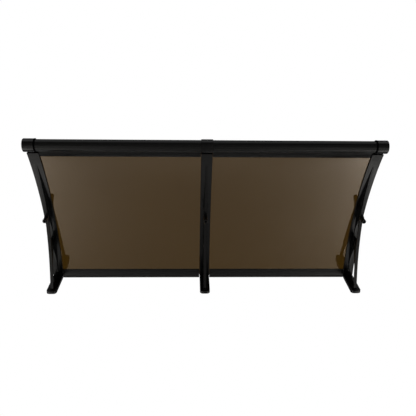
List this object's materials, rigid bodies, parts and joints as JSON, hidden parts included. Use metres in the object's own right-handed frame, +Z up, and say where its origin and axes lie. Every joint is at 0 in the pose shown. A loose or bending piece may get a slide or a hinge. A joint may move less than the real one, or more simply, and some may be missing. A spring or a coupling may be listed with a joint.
{
  "type": "door canopy",
  "caption": "Wall-mounted door canopy: curved brown tinted sheets on black arched wall brackets, with a round front rail, end caps and a flat rear rail.",
  "frame": {"origin": "on the back face of the centre bracket's wall plate, on its middle line, level with the underside of the sheets at the wall", "axes": "+X to the right for someone who faces the wall, +Y into the wall, +Z up; the canopy reaches out to -Y"},
  "size_m": [1.2, 0.6, 0.2155],
  "materials": {
    "moulded_plastic": "glossy black moulding",
    "coated_aluminium": "satin black coating on extruded aluminium",
    "tinted_sheet": "smooth brown tinted polycarbonate",
    "rubber": "matt black rubber",
    "plated_steel": "zinc plated"
  },
  "bodies": {
    "root": {"bracket_centre": "moulded_plastic", "bracket_left": "moulded_plastic", "bracket_right": "moulded_plastic", "centre_sleeve": "moulded_plastic", "clamp_strip_centre": "coated_aluminium", "clamp_strip_left": "coated_aluminium", "clamp_strip_right": "coated_aluminium", "end_cap_left": "moulded_plastic", "end_cap_right": "moulded_plastic", "front_rail_left": "coated_aluminium", "front_rail_right": "coated_aluminium", "rear_rail_left": "coated_aluminium", "rear_rail_right": "coated_aluminium", "rear_seal_left": "rubber", "rear_seal_right": "rubber", "sheet_left": "tinted_sheet", "sheet_right": "tinted_sheet", "strip_screw_centre_1": "plated_steel", "strip_screw_centre_2": "plated_steel", "strip_screw_centre_3": "plated_steel", "strip_screw_centre_4": "plated_steel", "strip_screw_centre_5": "plated_steel", "strip_screw_left_1": "plated_steel", "strip_screw_left_2": "plated_steel", "strip_screw_left_3": "plated_steel", "strip_screw_left_4": "plated_steel", "strip_screw_left_5": "plated_steel", "strip_screw_right_1": "plated_steel", "strip_screw_right_2": "plated_steel", "strip_screw_right_3": "plated_steel", "strip_screw_right_4": "plated_steel", "strip_screw_right_5": "plated_steel"}
  },
  "joints": []
}
